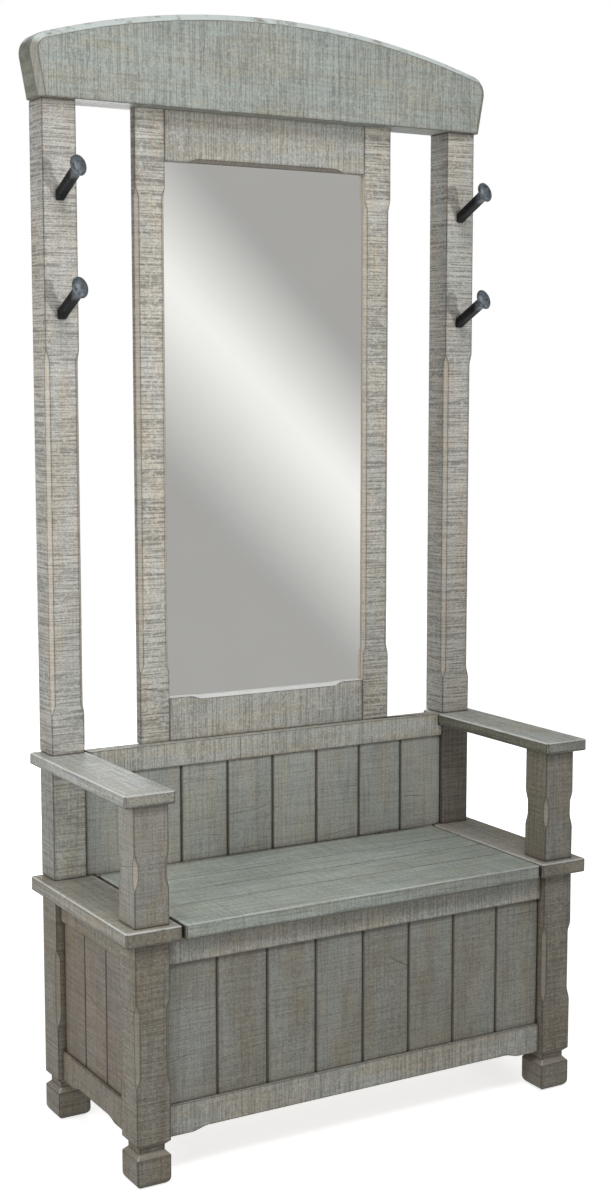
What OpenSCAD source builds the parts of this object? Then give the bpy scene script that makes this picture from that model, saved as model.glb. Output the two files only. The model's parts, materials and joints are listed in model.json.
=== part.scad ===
// Hall tree: a lidded bench with arms, a framed mirror between two tall posts, and four coat hooks.
// X runs across, +Y points at the wall and +Z up. The origin is on the floor, under the middle of the piece.
// Depths (names ending in _d) are measured forward from the plane of the back.

/* [Main sizes] */
// Width over the legs and posts
frame_w = 980; // [900:1:1160]
// Depth from the back plane to the front of the seat
depth = 447; // [400:1:520]
// Height of the top of the seat
seat_h = 486; // [430:1:540]
// Height of the top of the arms above the seat
arm_rise = 247; // [200:1:300]
// Length of the upper posts, from the arms to the crest
post_len = 1239; // [1100:1:1400]

/* [Legs and posts] */
// Width of every leg and post
leg_w = 68; // [60:1:80]
// Depth of the legs and of the arm posts
leg_d = 67; // [60:1:80]
// Depth of the rear posts above the seat
post_d = 63; // [58:1:66]
// Distance of the front legs and arm posts behind the front of the seat
leg_inset = 16.5; // [8:0.5:30]
// Leg of the stopped chamfers
chamfer = 7.5; // [4:0.5:10]
// Length of the curved run-out of a stopped chamfer
runout = 28; // [16:1:40]
// Plain height of an upper post above the arm, below its chamfers
post_plain_h = 72; // [40:1:120]
// Plain height at the foot of an arm post
arm_post_foot_h = 62; // [40:1:80]
// Plain height at the head of an arm post
arm_post_head_h = 82; // [50:1:90]
// Plain height of a leg above its neck
leg_foot_h = 102; // [60:1:120]
// Plain height at the head of a leg
leg_head_h = 101; // [60:1:120]
// Height of the foot blocks
foot_h = 58; // [45:1:70]
// Height of the neck above a foot block, with its slopes
neck_h = 25; // [22:1:32]
// Depth of the neck on each side
neck_in = 8.5; // [5:0.5:10]
// Radius of the lower edges of the foot
foot_r = 15; // [6:1:20]

/* [Arms and seat] */
// Width of an arm
arm_w = 101; // [92:1:120]
// Thickness of an arm
arm_t = 25; // [20:1:34]
// Overhang of an arm outside the posts
arm_over = 23.5; // [10:0.5:30]
// Distance of the front of the arms behind the front of the seat
arm_setback = 2; // [0:0.5:8]
// Width of the fixed seat sides
side_w = 112; // [100:1:130]
// Thickness of the seat sides and the lid
seat_t = 30; // [24:1:36]
// Overhang of a seat side outside the posts
side_over = 24.5; // [10:0.5:30]
// Radius of the rounded edges of arms and seat sides
edge_r = 7; // [3:0.5:9]

/* [Lid] */
// Gap between the lid and each seat side
lid_gap = 5; // [2:0.5:8]
// Width of each of the narrow planks
plank_w = 81; // [70:1:95]
// Width of the front plank
front_plank_w = 117; // [90:1:125]
// Width of the battens under the lid
batten_w = 50; // [30:1:80]
// Thickness of the battens under the lid
batten_t = 16; // [10:1:20]
// Clearance between lid and rails when it is shut
lid_clear = 0.3; // [0.2:0.1:1]
// Radius of the rounded edges of the lid
lid_r = 6; // [3:0.5:9]

/* [Hinges] */
// Distance of each hinge from the middle
hinge_x = 286; // [200:1:340]
// Length of a hinge
hinge_l = 46; // [40:1:70]
// Radius of the hinge knuckle
knuckle_r = 3.5; // [3:0.1:4.5]
// Radius of the hinge pin
pin_r = 1.5; // [1.2:0.1:1.8]
// Running clearance round the hinge pin
pin_clear = 0.05; // [0.02:0.01:0.1]
// Distance of the pin forward of the back plane
hinge_d = 62.5; // [62:0.5:66]
// Distance of the pin below the top of the seat
hinge_drop = 1.5; // [0.5:0.5:2]
// Height of a leaf below the pin
leaf_h = 23; // [20:1:26]
// Thickness of a leaf
leaf_t = 1.8; // [1.2:0.1:2.2]

/* [Rails and boards] */
// Thickness of the chest rails
rail_t = 22; // [20:1:26]
// Distance of the front rails behind the face of the legs
front_rail_in = 13; // [8:0.5:18]
// Distance of the side rails behind the face of the legs
side_rail_in = 10; // [6:0.5:14]
// Distance of the boards behind the face of their rails
board_in = 7; // [5:0.5:8]
// Thickness of the boards
board_t = 12; // [9:0.5:12]
// Height of the top rails of the chest
top_rail_h = 50.5; // [40:0.5:60]
// Height of the top edge of the bottom rails above the floor
low_rail_z = 142; // [135:1:160]
// Height of the lower edge of the bottom rails in the middle
low_arch_z = 90; // [88:1:100]
// Drop of that edge at the ends
low_rail_step = 7; // [3:0.5:8]
// Length of the flat at each end of that edge, front
step_flat = 48; // [30:1:70]
// Length of the curve of that edge
step_run = 36; // [20:1:50]
// Number of boards in the front and in the seat back
board_count = 8; // [6:1:10]
// Number of boards in each side
side_board_count = 3; // [2:1:4]
// Width of the bevel on the front edges of the boards
board_bevel = 2.4; // [1:0.1:3]
// Depth of the grooves that hold the boards
groove_deep = 8; // [5:0.5:9]
// Length of a tenon
tenon_l = 18; // [12:1:22]
// Thickness of a tenon
tenon_t = 9; // [8:0.5:10]
// Clearance of panels in grooves and of tenons in mortises
fit_gap = 0.2; // [0.1:0.05:0.3]

/* [Seat back] */
// Height of the top rail of the seat back
back_rail_h = 49; // [44:1:60]
// Thickness of the top rail of the seat back
back_rail_t = 30; // [28:1:36]
// Distance of the face of that rail forward of the back plane
back_rail_d = 61.5; // [59:0.5:62]
// Distance of the face of the seat-back boards forward of the back plane
back_board_d = 57; // [56:0.5:58]

/* [Mirror] */
// Width over the mirror frame
mirror_w = 585; // [480:1:680]
// Width of the stiles
stile_w = 64; // [50:1:80]
// Height of the upper rail of the frame below the crest
mirror_top_h = 97; // [70:1:120]
// Height of the lower rail of the frame
mirror_low_h = 88; // [70:1:120]
// Thickness of the frame
mirror_t = 19; // [18:0.5:22]
// Distance of the back of the frame forward of the back plane
mirror_d = 24; // [22:0.5:24]
// Thickness of the glass
glass_t = 4; // [3:0.5:5]
// Thickness of the backing board
backing_t = 5.6; // [4:0.1:6]
// Width of the rebate that holds the glass
rebate_w = 10; // [8:0.5:12]
// Distance from the corners of the glass to the start of the chamfers
mirror_stop = 46; // [30:1:60]
// Distance of the end clips from the corners of the glass
clip_end_l = 80; // [40:1:140]

/* [Crest] */
// Height of the crest in the middle
crest_h = 188; // [150:1:220]
// Thickness of the crest
crest_t = 77; // [72:1:90]
// Radius of the arch
crest_arch_r = 1720; // [1500:10:2200]
// Reach of the lower corners of the crest beyond the posts
crest_over = 8.5; // [4:0.5:16]
// Outward lean of the ends of the crest, in degrees
crest_flare = 10.3; // [4:0.1:14]
// Radius of the upper corners of the crest
crest_corner_r = 36; // [20:1:50]
// Width of the chamfer round the crest
crest_bevel = 12; // [6:0.5:14]
// Depth of the housing under the crest for the mirror frame
housing = 12; // [8:1:16]

/* [Hooks] */
// Distance of the upper hooks below the crest
hook_drop = 176; // [140:1:240]
// Distance between the upper and the lower hooks
hook_pitch = 220; // [160:1:280]
// Distance below a lower hook where the chamfers of the post end
hook_stop = 62; // [40:1:90]
// Upward slope of a hook, in degrees
hook_tilt = 26; // [20:1:40]
// Length of a hook in front of the post, along its shank
hook_l = 107; // [90:1:125]
// Thickness of the square shank
shank_t = 17.5; // [15:0.5:20]
// Width of the hook's head
head_w = 31; // [28:0.5:36]
// Length of the hook's head, across the slope
head_l = 44; // [38:0.5:50]
// Height of the hook's head with its neck
head_h = 18; // [14:0.5:22]
// Distance of the middle of the head above the middle of the shank
head_rise = 2.5; // [0:0.5:5]
// Radius of the round tenon that holds a hook in its post
hook_tenon_r = 6; // [5:0.5:7]
// Length of that tenon
hook_tenon_l = 32; // [24:1:36]

/* [Fastenings] */
// Radius of the dowels between the posts
dowel_r = 6; // [5:0.5:7]
// Depth of a dowel in a post
dowel_in = 30; // [20:1:40]
// Distance between the two dowels of a joint
dowel_gap = 30; // [26:1:32]
// Radius of the small dowels of the mirror frame
pegs_r = 4; // [3:0.5:4.5]
// Radius of the screws
screw_r = 1.75; // [1.5:0.05:2]
// Length of the screws
screw_l = 14; // [10:1:16]
// Press clearance of dowels, screws and spikes in their holes
snug = 0.05; // [0.02:0.01:0.08]

/* [Hidden] */
$fn = 40;

paint = [0.60, 0.61, 0.58];
paint_light = [0.66, 0.67, 0.63];
paint_board = [0.55, 0.58, 0.55];
raw_wood = [0.72, 0.62, 0.48];
iron = [0.20, 0.22, 0.24];

half_w = frame_w / 2;
back = depth / 2;
post_x = half_w - leg_w / 2;
inner_x = half_w - leg_w;
seat_under = seat_h - seat_t;
arm_top = seat_h + arm_rise;
arm_under = arm_top - arm_t;
crest_z = arm_top + post_len;
front_d = depth - leg_inset;
front_leg_back_d = front_d - leg_d;
main_z = foot_h + neck_h;
hook_high_z = crest_z - hook_drop;
hook_low_z = hook_high_z - hook_pitch;
side_inner_x = half_w + side_over - side_w;
arm_inner_x = half_w + arm_over - arm_w;

// Dowel places, measured forward from the back plane
rear_dowels = [post_d / 2 - dowel_gap / 2, post_d / 2 + dowel_gap / 2];
front_dowels = [front_d - leg_d / 2 - dowel_gap / 2, front_d - leg_d / 2 + dowel_gap / 2];
arm_peg = 0.6 * arm_t;

// Chest
front_rail_d = front_d - front_rail_in;
front_board_d = front_rail_d - board_in;
side_rail_x = half_w - side_rail_in;
side_board_x = side_rail_x - board_in;
top_rail_z = seat_under - top_rail_h;
low_edge_z = low_arch_z - low_rail_step;
board_top_z = top_rail_z + groove_deep - fit_gap;
board_low_z = low_rail_z - groove_deep + fit_gap;
ply_t = 6;
ply_d = 45;
floor_t = 9;
cleat = 18;
floor_z = low_rail_z - floor_t - 4;
rear_rail_back_d = ply_d - ply_t - 6;

// Lid and hinges
lid_back_d = hinge_d + knuckle_r;
lid_half = side_inner_x - lid_gap;
hinge_z = seat_h - hinge_drop;
hinge_rail_d = lid_back_d - 1.2;
hinge_rail_z = seat_h - 1;
pocket_d = hinge_d - knuckle_r;
knuckles = 5;
hinge_screws = [-hinge_l / 2 + 7, 0, hinge_l / 2 - 7];
hinge_screw_z = hinge_z - leaf_h + 7;

// Mirror
frame_front_d = mirror_d + mirror_t;
light_w = mirror_w - 2 * stile_w;
light_z0 = arm_top + mirror_low_h;
light_z1 = crest_z - mirror_top_h;
glass_back_d = mirror_d + backing_t + fit_gap;
clip = [28, 11, 1.5];

// Crest
crest_half = half_w + crest_over;

// ---------- helpers ----------

// Board between two x values, two depths and two heights
module block(x0, x1, d0, d1, z0, z1) {
    translate([x0, back - d1, z0])
        cube([x1 - x0, d1 - d0, z1 - z0]);
}

// Rectangle with round corners
module round_rect(w, h, r) {
    translate([r, 0]) square([w - 2 * r, h]);
    translate([0, r]) square([w, h - 2 * r]);
    for (x = [r, w - r], y = [r, h - r])
        translate([x, y]) circle(r, $fn = 32);
}

// Board with every edge rounded to radius r
module eased_block(x0, x1, d0, d1, z0, z1, r) {
    w = x1 - x0;
    d = d1 - d0;
    h = z1 - z0;
    translate([x0, back - d1, z0])
        intersection() {
            linear_extrude(h) round_rect(w, d, r);
            translate([0, d, 0]) rotate([90, 0, 0]) linear_extrude(d) round_rect(w, h, r);
            rotate([90, 0, 90]) linear_extrude(w) round_rect(d, h, r);
        }
}

// Smooth step from 0 to 1
function ease(t) = t * t * (3 - 2 * t);

// Points of an ogee between two points
function ogee(x0, y0, x1, y1, n = 8) =
    [for (i = [0 : n]) [x0 + (x1 - x0) * i / n, y0 + (y1 - y0) * ease(i / n)]];

// Cutter for a stopped chamfer: its corner lies on the Z axis from 0 to len and faces +X
module stopped_chamfer(len, c = chamfer, n = 8) {
    deep = c / sqrt(2);
    run = min(runout, 0.49 * len);
    outline = concat(
        [[1, 0]],
        [for (i = [0 : n]) [-deep * ease(i / n), run * i / n]],
        [for (i = [0 : n]) [-deep * ease(1 - i / n), len - run + run * i / n]],
        [[1, len]]);
    rotate([90, 0, 0])
        linear_extrude(2 * c, center = true)
            polygon(outline);
}

// Stopped chamfer on an upright corner; turn is the way the corner faces, from +X towards +Y
module upright_chamfer(x, d, z0, z1, turn) {
    translate([x, back - d, z0])
        rotate([0, 0, turn])
            stopped_chamfer(z1 - z0);
}

// Stopped chamfer on a front edge along X; up is 1 for an upper edge and -1 for a lower one
module level_chamfer(x0, x1, d, z, up) {
    translate([x0, back - d, z])
        rotate([up > 0 ? -135 : -45, 0, 0])
            rotate([0, 90, 0])
                stopped_chamfer(x1 - x0);
}

// Shapes that exist left and right: the modules below draw the right one
module on_side(side) {
    if (side > 0) children();
    else mirror([1, 0, 0]) children();
}

// Upright round peg or hole
module peg(x, d, z0, z1, r) {
    translate([x, back - d, z0]) cylinder(h = z1 - z0, r = r);
}

// ---------- posts, arms and seat sides ----------

module upper_post(side) {
    color(paint_light)
        on_side(side)
            difference() {
                block(inner_x, half_w, 0, post_d, arm_top, crest_z);
                upright_chamfer(inner_x, post_d, arm_top + post_plain_h, hook_low_z - hook_stop, -135);
                upright_chamfer(half_w, post_d, arm_top + post_plain_h, hook_low_z - hook_stop, -45);
                for (d = rear_dowels) {
                    peg(post_x, d, arm_top - 1, arm_top + dowel_in + 1, dowel_r + snug);
                    peg(post_x, d, crest_z - dowel_in - 1, crest_z + 1, dowel_r + snug);
                }
                for (z = [hook_high_z, hook_low_z])
                    hook_place(z) hook_hole();
            }
}

module mid_post(side) {
    color(paint)
        on_side(side)
            difference() {
                block(inner_x, half_w, 0, post_d, seat_h, arm_under);
                for (d = rear_dowels) {
                    peg(post_x, d, seat_h - 1, seat_h + dowel_in + 1, dowel_r + snug);
                    peg(post_x, d, arm_under - dowel_in - 1, arm_under + 1, dowel_r + snug);
                }
                seat_back_tenon(fit_gap);
            }
}

module arm(side) {
    color(paint_light)
        on_side(side)
            difference() {
                eased_block(arm_inner_x, arm_inner_x + arm_w, 0, depth - arm_setback,
                    arm_under, arm_top, edge_r);
                for (d = rear_dowels)
                    peg(post_x, d, arm_under - 1, arm_top + 1, dowel_r + snug);
                for (d = front_dowels)
                    peg(post_x, d, arm_under - 1, arm_under + arm_peg + 1, dowel_r + snug);
            }
}

module arm_post(side) {
    z0 = seat_h + arm_post_foot_h;
    z1 = arm_under - arm_post_head_h;
    color(paint)
        on_side(side)
            difference() {
                block(inner_x, half_w, front_leg_back_d, front_d, seat_h, arm_under);
                upright_chamfer(inner_x, front_d, z0, z1, -135);
                upright_chamfer(half_w, front_d, z0, z1, -45);
                upright_chamfer(inner_x, front_leg_back_d, z0, z1, 135);
                upright_chamfer(half_w, front_leg_back_d, z0, z1, 45);
                for (d = front_dowels) {
                    peg(post_x, d, seat_h - 1, seat_h + dowel_in + 1, dowel_r + snug);
                    peg(post_x, d, arm_under - dowel_in - 1, arm_under + 1, dowel_r + snug);
                }
            }
}

module seat_side(side) {
    color(paint_light)
        on_side(side)
            difference() {
                eased_block(side_inner_x, side_inner_x + side_w, 0, depth, seat_under, seat_h, edge_r);
                for (d = concat(rear_dowels, front_dowels))
                    peg(post_x, d, seat_under - 1, seat_h + 1, dowel_r + snug);
            }
}

// ---------- legs ----------

// Outline of a leg w wide: foot block with rounded lower edges, neck and square leg
function leg_side(w, top) =
    let (h = w / 2, lip = 3, nin = h - neck_in, slope = neck_in)
    concat(
        [for (a = [-90 : 15 : 0]) [h - foot_r + foot_r * cos(a), foot_r + foot_r * sin(a)]],
        [for (a = [0 : 22.5 : 45]) [h - lip + lip * cos(a), foot_h - lip + lip * sin(a)]],
        [[nin, foot_h + slope - 1.5], [nin, main_z - slope + 0.5],
         [h - 1.5, main_z - 0.8], [h, main_z + 0.8], [h, top]]);

module leg_profile(w, top) {
    right = leg_side(w, top);
    polygon(concat(right, [for (i = [len(right) - 1 : -1 : 0]) [-right[i][0], right[i][1]]]));
}

module leg_body(d0, top) {
    translate([post_x, back - d0 - leg_d / 2, 0])
        intersection() {
            rotate([90, 0, 0]) linear_extrude(leg_d, center = true) leg_profile(leg_w, top);
            rotate([90, 0, 90]) linear_extrude(leg_w, center = true) leg_profile(leg_d, top);
        }
}

module leg_chamfer(x, d, turn) {
    upright_chamfer(x, d, main_z + leg_foot_h, seat_under - leg_head_h, turn);
}

module front_leg(side) {
    color(paint)
        on_side(side)
            difference() {
                leg_body(front_leg_back_d, seat_under);
                leg_chamfer(inner_x, front_d, -135);
                leg_chamfer(half_w, front_d, -45);
                leg_chamfer(half_w, front_leg_back_d, 45);
                for (d = front_dowels)
                    peg(post_x, d, seat_under - dowel_in - 1, seat_under + 1, dowel_r + snug);
                front_tenons(fit_gap);
                side_tenons(fit_gap);
            }
}

module rear_leg(side) {
    color(paint)
        on_side(side)
            difference() {
                leg_body(0, seat_under);
                leg_chamfer(half_w, leg_d, -45);
                for (d = rear_dowels)
                    peg(post_x, d, seat_under - dowel_in - 1, seat_under + 1, dowel_r + snug);
                rear_tenons(fit_gap);
                side_tenons(fit_gap);
            }
}

// ---------- chest rails and boards ----------

// Tenons of the right-hand rail ends; g is the clearance, for the mortises
module front_tenons(g = 0) {
    d = front_rail_d - rail_t / 2;
    x_tenon(d, top_rail_z + groove_deep + 4, seat_under - 8, g);
    x_tenon(d, low_edge_z + 8, low_rail_z - groove_deep - 4, g);
}

module rear_tenons(g = 0) {
    x_tenon((rear_rail_back_d + hinge_rail_d) / 2, top_rail_z + groove_deep + 4, seat_under - 8, g);
    x_tenon(rear_rail_back_d + rail_t / 2, low_edge_z + 8, low_rail_z - groove_deep - 4, g);
}

module x_tenon(d, z0, z1, g) {
    block(inner_x - 1, inner_x + tenon_l + g, d - tenon_t / 2 - g, d + tenon_t / 2 + g, z0 - g, z1 + g);
}

module side_tenons(g = 0) {
    x = side_rail_x - rail_t / 2;
    for (z = [[top_rail_z + groove_deep + 4, seat_under - 8], [low_edge_z + 8, low_rail_z - groove_deep - 4]])
        block(x - tenon_t / 2 - g, x + tenon_t / 2 + g, leg_d - tenon_l - g,
            front_leg_back_d + tenon_l + g, z[0] - g, z[1] + g);
}

// Lower edge of a bottom rail from -half to half, stepped down at the ends
module low_rail_outline(half, flat) {
    run = step_run;
    polygon(concat(
        [[-half, low_rail_z], [-half, low_edge_z]],
        ogee(-half + flat, low_edge_z, -half + flat + run, low_arch_z),
        ogee(half - flat - run, low_arch_z, half - flat, low_edge_z),
        [[half, low_edge_z], [half, low_rail_z]]));
}

module front_top_rail() {
    color(paint)
        union() {
            difference() {
                block(-inner_x, inner_x, front_rail_d - rail_t, front_rail_d, top_rail_z, seat_under - lid_clear);
                block(-inner_x - 1, inner_x + 1, front_board_d - board_t - fit_gap, front_board_d + fit_gap,
                    top_rail_z - 1, top_rail_z + groove_deep);
            }
            for (s = [-1, 1]) on_side(s)
                intersection() {
                    front_tenons();
                    block(0, half_w, 0, depth, top_rail_z, seat_under);
                }
        }
}

module front_bottom_rail() {
    color(paint)
        union() {
            difference() {
                translate([0, back - front_rail_d + rail_t, 0])
                    rotate([90, 0, 0])
                        linear_extrude(rail_t) low_rail_outline(inner_x, step_flat);
                block(-inner_x - 1, inner_x + 1, front_board_d - board_t - fit_gap, front_board_d + fit_gap,
                    low_rail_z - groove_deep, low_rail_z + 1);
            }
            for (s = [-1, 1]) on_side(s)
                intersection() {
                    front_tenons();
                    block(0, half_w, 0, depth, 0, low_rail_z);
                }
        }
}

module side_top_rail(side) {
    color(paint)
        on_side(side) {
            difference() {
                block(side_rail_x - rail_t, side_rail_x, leg_d, front_leg_back_d, top_rail_z, seat_under);
                block(side_board_x - board_t - fit_gap, side_board_x + fit_gap, leg_d - 1, front_leg_back_d + 1,
                    top_rail_z - 1, top_rail_z + groove_deep);
            }
            intersection() {
                side_tenons();
                block(0, half_w, 0, depth, top_rail_z, seat_under);
                union() {
                    block(0, half_w, 0, leg_d + 0.01, 0, seat_h);
                    block(0, half_w, front_leg_back_d - 0.01, depth, 0, seat_h);
                }
            }
        }
}

module side_bottom_rail(side) {
    span = front_leg_back_d - leg_d;
    color(paint)
        on_side(side) {
            difference() {
                translate([side_rail_x - rail_t, back - leg_d - span / 2, 0])
                    rotate([90, 0, 90])
                        linear_extrude(rail_t) low_rail_outline(span / 2, step_flat);
                block(side_board_x - board_t - fit_gap, side_board_x + fit_gap, leg_d - 1, front_leg_back_d + 1,
                    low_rail_z - groove_deep, low_rail_z + 1);
            }
            intersection() {
                side_tenons();
                block(0, half_w, 0, depth, 0, low_rail_z);
                union() {
                    block(0, half_w, 0, leg_d + 0.01, 0, seat_h);
                    block(0, half_w, front_leg_back_d - 0.01, depth, 0, seat_h);
                }
            }
        }
}

// Plan of one board w wide: bevelled front edges, a tongue on the right, a groove on the left
module board_plan(w, tongue, groove) {
    joint_gap = 0.3;
    tongue_t = board_t / 3;
    tongue_l = 5;
    b = board_bevel;
    difference() {
        union() {
            polygon([[0, b], [b, 0], [w - joint_gap - b, 0], [w - joint_gap, b],
                [w - joint_gap, board_t], [0, board_t]]);
            if (tongue)
                translate([w - 2, (board_t - tongue_t) / 2]) square([2 + tongue_l, tongue_t]);
        }
        if (groove)
            translate([-1, (board_t - tongue_t) / 2 - fit_gap])
                square([1 + tongue_l + 0.5, tongue_t + 2 * fit_gap]);
    }
}

// A row of boards from x = 0, with their faces at y = 0 and their backs towards +Y
module board_row(span, count, z0, z1) {
    w = span / count;
    for (i = [0 : count - 1])
        translate([i * w, 0, z0])
            linear_extrude(z1 - z0) board_plan(w, i < count - 1, i > 0);
}

module front_boards() {
    color(paint_board)
        translate([-inner_x + 0.15, back - front_board_d, 0])
            board_row(2 * inner_x, board_count, board_low_z, board_top_z);
}

module side_boards(side) {
    color(paint_board)
        on_side(side)
            translate([side_board_x, back - front_leg_back_d + 0.15, 0])
                rotate([0, 0, 90])
                    board_row(front_leg_back_d - leg_d, side_board_count, board_low_z, board_top_z);
}

// Rail that carries the hinges and the foot of the seat-back boards
module hinge_rail() {
    color(paint)
        difference() {
            union() {
                block(-inner_x, inner_x, rear_rail_back_d, hinge_rail_d, top_rail_z, seat_under);
                block(-side_inner_x + 0.5, side_inner_x - 0.5, rear_rail_back_d, hinge_rail_d,
                    seat_under - 1, hinge_rail_z);
                for (s = [-1, 1]) on_side(s)
                    intersection() {
                        rear_tenons();
                        block(0, half_w, 0, depth, top_rail_z, seat_under);
                    }
            }
            block(-inner_x, inner_x, back_board_d - board_t - fit_gap, back_board_d + fit_gap,
                hinge_rail_z - groove_deep, seat_h);
            block(-inner_x - 1, inner_x + 1, ply_d - ply_t - fit_gap, ply_d + fit_gap,
                top_rail_z - 1, top_rail_z + groove_deep);
            for (s = [-1, 1]) {
                block(s * hinge_x - hinge_l / 2 - 1, s * hinge_x + hinge_l / 2 + 1, pocket_d, depth,
                    hinge_z - leaf_h - 1.5, seat_h);
                for (x = hinge_screws)
                    level_hole(s * hinge_x + x, pocket_d - screw_l - 1, pocket_d + 1, hinge_screw_z,
                        screw_r + snug);
            }
        }
}

module rear_bottom_rail() {
    color(paint)
        union() {
            difference() {
                block(-inner_x, inner_x, rear_rail_back_d, rear_rail_back_d + rail_t, low_edge_z, low_rail_z);
                block(-inner_x - 1, inner_x + 1, ply_d - ply_t - fit_gap, ply_d + fit_gap,
                    low_rail_z - groove_deep, low_rail_z + 1);
            }
            for (s = [-1, 1]) on_side(s)
                intersection() {
                    rear_tenons();
                    block(0, half_w, 0, depth, 0, low_rail_z);
                }
        }
}

module rear_panel() {
    color(raw_wood)
        block(-inner_x + fit_gap, inner_x - fit_gap, ply_d - ply_t, ply_d, board_low_z, board_top_z);
}

// Floor of the chest, notched round the legs
module chest_floor() {
    side_in = side_rail_x - rail_t - 0.5;
    color(raw_wood)
        difference() {
            block(-side_in, side_in, rear_rail_back_d + rail_t + 0.5, front_rail_d - rail_t - 0.5,
                floor_z, floor_z + floor_t);
            for (s = [-1, 1]) on_side(s) {
                block(inner_x - 0.5, half_w, 0, leg_d + 0.5, floor_z - 1, floor_z + floor_t + 1);
                block(inner_x - 0.5, half_w, front_leg_back_d - 0.5, depth, floor_z - 1, floor_z + floor_t + 1);
            }
        }
}

// Cleats along the four bottom rails, under the floor
module floor_cleats() {
    side_in = side_rail_x - rail_t;
    front_in = front_rail_d - rail_t;
    rear_in = rear_rail_back_d + rail_t;
    color(raw_wood) {
        block(-inner_x + 30, inner_x - 30, front_in - cleat, front_in, floor_z - cleat, floor_z);
        block(-inner_x + 30, inner_x - 30, rear_in, rear_in + cleat, floor_z - cleat, floor_z);
        for (s = [-1, 1]) on_side(s)
            block(side_in - cleat, side_in, leg_d + 20, front_leg_back_d - 20, floor_z - cleat, floor_z);
    }
}

// ---------- seat back ----------

module seat_back_tenon(g = 0) {
    d = back_rail_d - back_rail_t / 2;
    block(inner_x - 1, inner_x + tenon_l + g, d - tenon_t / 2 - g, d + tenon_t / 2 + g,
        arm_top - back_rail_h + 4 - g, arm_under - 4 + g);
}

// Top rail of the seat back: its ends are notched under the arms
module seat_back_rail() {
    z0 = arm_top - back_rail_h;
    back_d = back_rail_d - back_rail_t;
    color(paint)
        difference() {
            union() {
                block(-inner_x, inner_x, back_d, back_rail_d, z0, arm_under - 0.1);
                block(-arm_inner_x + 0.1, arm_inner_x - 0.1, back_d, back_rail_d, z0, arm_top);
                for (s = [-1, 1]) on_side(s) seat_back_tenon();
            }
            block(-inner_x, inner_x, back_board_d - board_t - fit_gap, back_board_d + fit_gap,
                z0 - 1, z0 + groove_deep);
            for (x = mirror_peg_x)
                peg(x, mirror_peg_d, arm_top - 20, arm_top + 1, pegs_r + snug);
        }
}

module seat_back_boards() {
    color(paint_board)
        difference() {
            translate([-inner_x + 0.15, back - back_board_d, 0])
                board_row(2 * inner_x, board_count, hinge_rail_z - groove_deep + fit_gap,
                    arm_top - back_rail_h + groove_deep - fit_gap);
            for (s = [-1, 1]) on_side(s)
                block(side_inner_x - 0.6, half_w, 0, depth, seat_under, seat_h + 0.1);
        }
}

// ---------- lid and hinges ----------

plank_seams = [for (i = [0 : 2]) depth - front_plank_w - i * plank_w];

module lid_planks() {
    seam_gap = 0.2;
    seam_bevel = 1.6;
    color(paint_board)
        difference() {
            eased_block(-lid_half, lid_half, lid_back_d, depth, seat_under, seat_h, lid_r);
            for (d = plank_seams) {
                block(-lid_half - 1, lid_half + 1, d - seam_gap / 2, d + seam_gap / 2, seat_under - 1, seat_h + 1);
                translate([0, back - d, seat_h])
                    rotate([45, 0, 0])
                        cube([2 * lid_half + 2, seam_bevel * sqrt(2), seam_bevel * sqrt(2)], center = true);
            }
            for (s = [-1, 1]) {
                translate([s * hinge_x - hinge_l / 2 - 1, back - hinge_d, hinge_z])
                    rotate([0, 90, 0])
                        cylinder(h = hinge_l + 2, r = knuckle_r + 0.4);
                for (x = hinge_screws)
                    level_hole(s * hinge_x + x, lid_back_d - 1, lid_back_d + screw_l + 1, hinge_screw_z,
                        screw_r + snug);
            }
        }
}

module lid_battens() {
    color(raw_wood)
        for (x = [-0.62, 0, 0.62] * lid_half)
            block(x - batten_w / 2, x + batten_w / 2, lid_back_d + 20, front_rail_d - rail_t - 14,
                seat_under - batten_t, seat_under);
}

// Level round hole along Y between two depths
module level_hole(x, d0, d1, z, r) {
    translate([x, back - d0, z])
        rotate([90, 0, 0])
            cylinder(h = d1 - d0, r = r, $fn = 24);
}

// Countersunk screw along Y: head_d is the depth of its head's face, way is 1 when it drives forward
module level_screw(x, head_d, z, way, len = screw_l) {
    translate([x, back - head_d, z])
        rotate([way > 0 ? 90 : -90, 0, 0]) {
            cylinder(h = len, r = screw_r, $fn = 24);
            cylinder(h = screw_r, r1 = 2 * screw_r, r2 = screw_r, $fn = 24);
        }
}

// Hole for that screw, with its countersink
module screw_sink(x, head_d, z, way) {
    translate([x, back - head_d, z])
        rotate([way > 0 ? 90 : -90, 0, 0]) {
            translate([0, 0, -1]) cylinder(h = screw_l + 1.5, r = screw_r + snug, $fn = 24);
            cylinder(h = screw_r + snug, r1 = 2 * screw_r + snug, r2 = screw_r, $fn = 24);
        }
}

// Knuckles of one hinge: first is 0 for the leaf on the frame, 1 for the leaf on the lid
module knuckle_row(s, first) {
    pitch = hinge_l / knuckles;
    for (i = [first : 2 : knuckles - 1])
        translate([s * hinge_x - hinge_l / 2 + i * pitch + 0.15, back - hinge_d, hinge_z])
            rotate([0, 90, 0])
                cylinder(h = pitch - 0.3, r = knuckle_r);
}

module pin_bore(s) {
    translate([s * hinge_x - hinge_l, back - hinge_d, hinge_z])
        rotate([0, 90, 0])
            cylinder(h = 2 * hinge_l, r = pin_r + pin_clear);
}

// Plate of a hinge between two depths, cut away beside the other leaf's knuckles
module leaf_plate(s, d0, d1, first) {
    pitch = hinge_l / knuckles;
    x0 = s * hinge_x - hinge_l / 2;
    block(x0 + 0.15, x0 + hinge_l - 0.15, d0, d1, hinge_z - leaf_h, hinge_z - knuckle_r - 0.3);
    for (i = [first : 2 : knuckles - 1])
        block(x0 + i * pitch + 0.15, x0 + (i + 1) * pitch - 0.15, d0, d1,
            hinge_z - knuckle_r - 1, hinge_z);
}

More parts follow.
